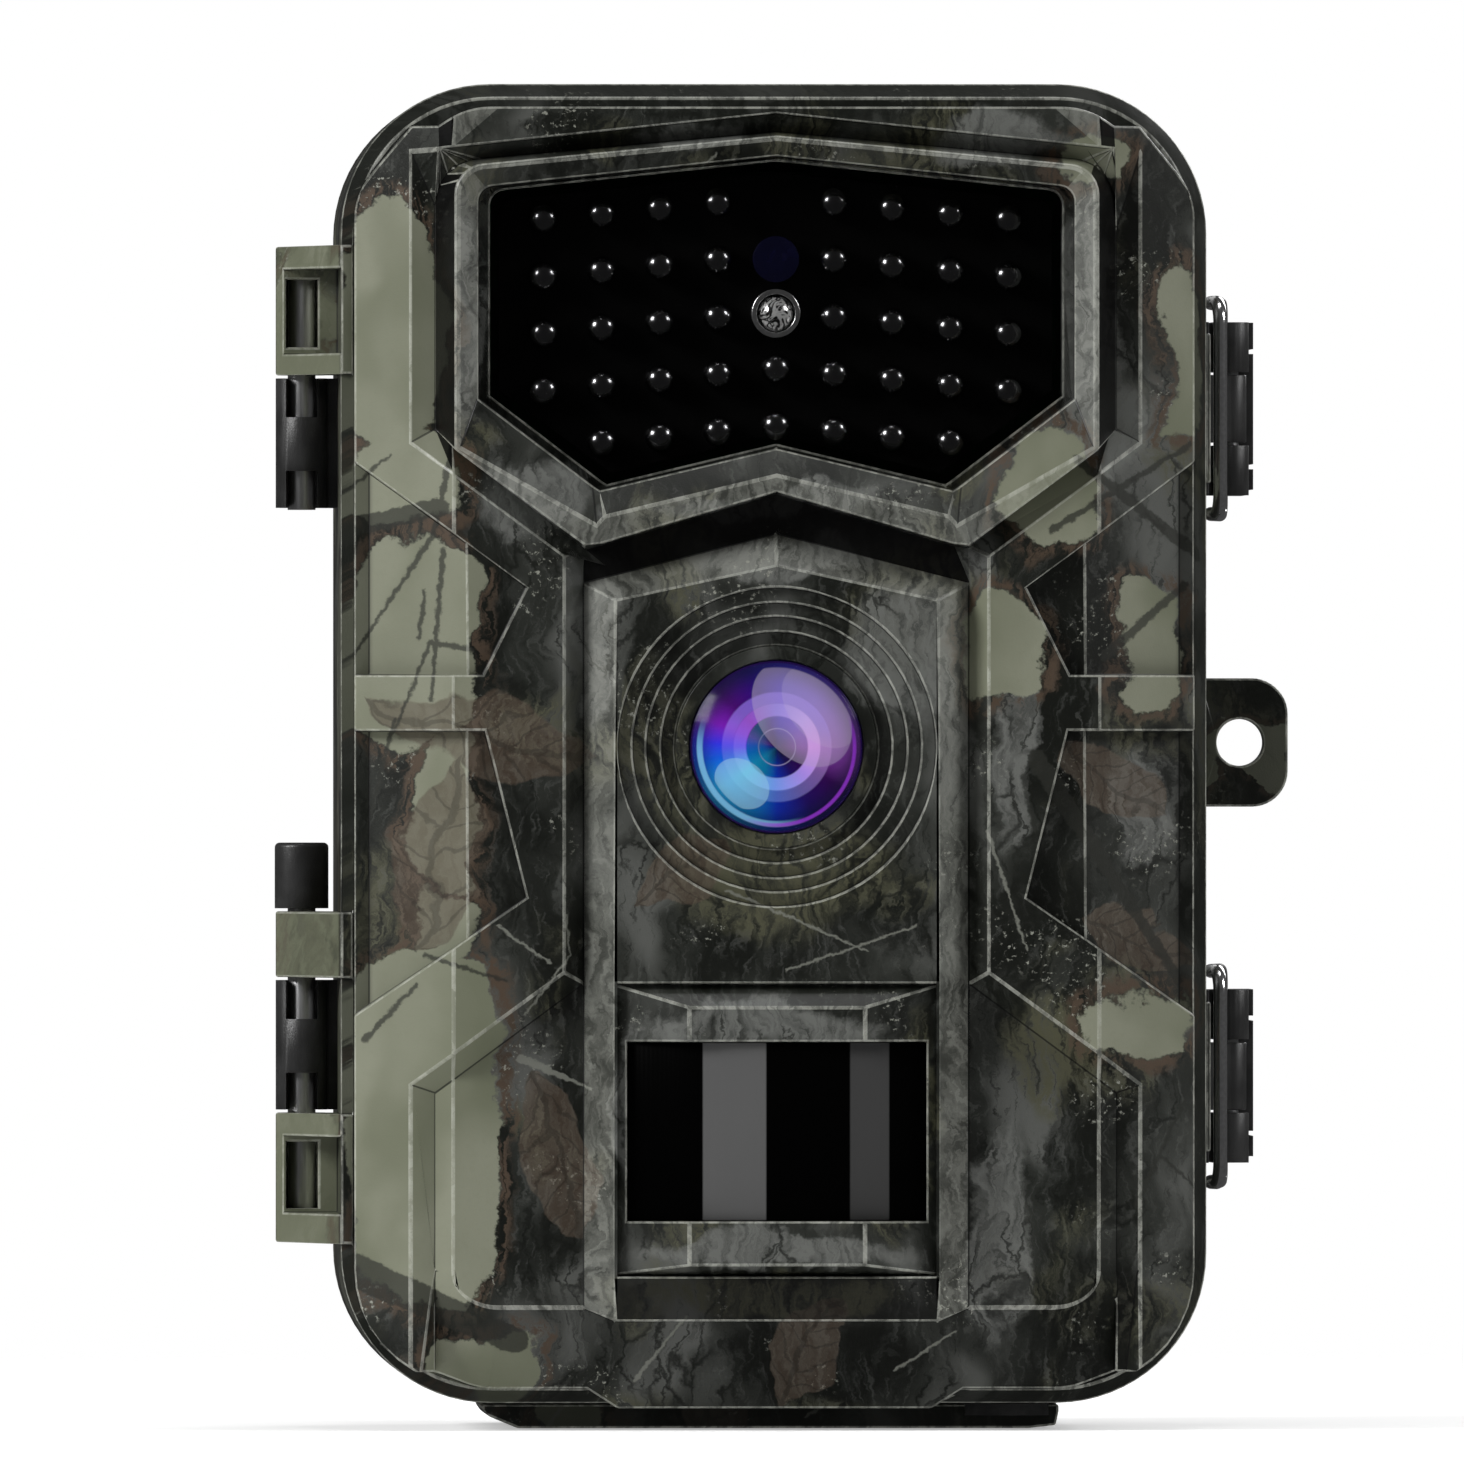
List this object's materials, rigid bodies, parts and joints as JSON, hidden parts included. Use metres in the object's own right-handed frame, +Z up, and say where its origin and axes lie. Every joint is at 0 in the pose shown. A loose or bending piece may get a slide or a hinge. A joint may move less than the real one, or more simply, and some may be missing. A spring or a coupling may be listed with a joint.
{
  "type": "trail camera",
  "caption": "Clamshell wildlife camera with camouflage housing, infrared window, lens, motion sensor, side hinges, toggle latches and a tripod foot.",
  "frame": {"origin": "tripod socket's centre on the underside of the foot", "axes": "+Z up, the lens looks along -Y, +X is to the right of someone facing the camera"},
  "size_m": [0.1017, 0.0763, 0.1346],
  "materials": {
    "camo_shell": "semi-gloss moulded plastic with a bark and leaf camouflage film",
    "black_plastic": "fine-grained black moulded plastic",
    "chrome_wire": "polished bright wire",
    "steel": "turned bright steel",
    "ir_filter": "dark infrared filter",
    "led_dome": "dark polished epoxy",
    "clear_dome": "clear epoxy",
    "coated_glass": "multi-coated lens glass",
    "black_gloss": "polished black lens plastic",
    "pcb_green": "solder-masked circuit board",
    "pcb_black": "black solder-masked circuit board",
    "metal_can": "pressed tinned steel",
    "screen_glass": "screen glass",
    "grey_plastic": "dark grey moulded plastic",
    "key_plastic": "light grey key caps",
    "rubber": "black rubber",
    "brass": "machined brass",
    "cell_jacket": "printed metal cell jacket",
    "card_plastic": "memory card shell"
  },
  "bodies": {
    "rear_case": {"rear_housing": "camo_shell", "gasket": "rubber", "tripod_insert": "brass", "hinge_barrel_upper": "black_plastic", "hinge_barrel_lower": "black_plastic", "hinge_pin_upper": "steel", "hinge_pin_lower": "steel", "hinge_cap": "black_plastic", "latch_base_upper": "black_plastic", "latch_base_lower": "black_plastic", "latch_pin_upper": "steel", "latch_pin_lower": "steel", "battery_tray": "grey_plastic", "battery_cells": "cell_jacket", "contact_springs": "steel", "contact_plates": "steel", "tree_bracket": "black_plastic", "bracket_screws": "steel"},
    "front_case": {"board_posts": "black_plastic", "board_screws": "steel", "card_slot": "metal_can", "dc_jack": "black_plastic", "front_housing": "camo_shell", "indicator_lamp": "clear_dome", "infrared_board": "pcb_black", "infrared_leds": "led_dome", "infrared_window": "ir_filter", "inner_panel": "grey_plastic", "lamp_ring": "chrome_wire", "lens_barrel": "black_plastic", "lens_bezel": "black_plastic", "lens_glass": "coated_glass", "lens_holder": "black_plastic", "light_sensor": "led_dome", "main_board": "pcb_green", "microphone": "metal_can", "mode_switch_body": "metal_can", "panel_screws": "steel", "pir_frame": "camo_shell", "pir_lens": "black_gloss", "pir_sensor": "metal_can", "screen": "screen_glass", "sensor_board": "pcb_green", "speaker": "black_plastic", "tact_switches": "metal_can", "usb_port": "metal_can"},
    "menu_key": {"menu_key": "key_plastic"},
    "ok_key": {"ok_key": "key_plastic"},
    "up_key": {"up_key": "key_plastic"},
    "down_key": {"down_key": "key_plastic"},
    "left_key": {"left_key": "key_plastic"},
    "right_key": {"right_key": "key_plastic"},
    "mode_switch": {"mode_switch_knob": "key_plastic"},
    "card": {"memory_card": "card_plastic"},
    "plug": {"port_plug": "rubber"},
    "lever_upper": {"latch_lever_upper": "black_plastic"},
    "bail_upper": {"latch_bail_upper": "chrome_wire"},
    "lever_lower": {"latch_lever_lower": "black_plastic"},
    "bail_lower": {"latch_bail_lower": "chrome_wire"}
  },
  "joints": [
    {"name": "front_hinge", "type": "hinge", "parent": "rear_case", "child": "front_case", "pos_m": [-0.0469, -0.009, 0.068], "axis": [0, 0, -1], "range_deg": [0, 170]},
    {"name": "lever_upper_pivot", "type": "hinge", "parent": "rear_case", "child": "lever_upper", "pos_m": [0.0466, -0.0035, 0.1023], "axis": [0, 0, -1], "range_deg": [0, 140]},
    {"name": "bail_upper_pivot", "type": "hinge", "parent": "lever_upper", "child": "bail_upper", "pos_m": [0.0459, 0.004, 0.1023], "axis": [0, 0, -1], "range_deg": [-140, 0]},
    {"name": "lever_lower_pivot", "type": "hinge", "parent": "rear_case", "child": "lever_lower", "pos_m": [0.0466, -0.0035, 0.0352], "axis": [0, 0, -1], "range_deg": [0, 140]},
    {"name": "bail_lower_pivot", "type": "hinge", "parent": "lever_lower", "child": "bail_lower", "pos_m": [0.0459, 0.004, 0.0352], "axis": [0, 0, -1], "range_deg": [-140, 0]},
    {"name": "menu_key_press", "type": "slide", "parent": "front_case", "child": "menu_key", "axis": [0, -1, 0], "range_m": [0, 0.0006], "stiffness_N_per_m": 600, "springref_m": -0.0003},
    {"name": "ok_key_press", "type": "slide", "parent": "front_case", "child": "ok_key", "axis": [0, -1, 0], "range_m": [0, 0.0006], "stiffness_N_per_m": 600, "springref_m": -0.0003},
    {"name": "up_key_press", "type": "slide", "parent": "front_case", "child": "up_key", "axis": [0, -1, 0], "range_m": [0, 0.0006], "stiffness_N_per_m": 600, "springref_m": -0.0003},
    {"name": "down_key_press", "type": "slide", "parent": "front_case", "child": "down_key", "axis": [0, -1, 0], "range_m": [0, 0.0006], "stiffness_N_per_m": 600, "springref_m": -0.0003},
    {"name": "left_key_press", "type": "slide", "parent": "front_case", "child": "left_key", "axis": [0, -1, 0], "range_m": [0, 0.0006], "stiffness_N_per_m": 600, "springref_m": -0.0003},
    {"name": "right_key_press", "type": "slide", "parent": "front_case", "child": "right_key", "axis": [0, -1, 0], "range_m": [0, 0.0006], "stiffness_N_per_m": 600, "springref_m": -0.0003},
    {"name": "mode_switch_slide", "type": "slide", "parent": "front_case", "child": "mode_switch", "axis": [1, 0, 0], "range_m": [0, 0.007]},
    {"name": "card_slide", "type": "slide", "parent": "front_case", "child": "card", "axis": [0, 1, 0], "range_m": [-0.001, 0.002]},
    {"name": "plug_slide", "type": "slide", "parent": "front_case", "child": "plug", "axis": [0, 0, -1], "range_m": [0, 0.006]}
  ],
  "couplings": [
    {"joint": "bail_upper_pivot", "follows": "lever_upper_pivot", "ratio": -1},
    {"joint": "bail_lower_pivot", "follows": "lever_lower_pivot", "ratio": -1}
  ]
}
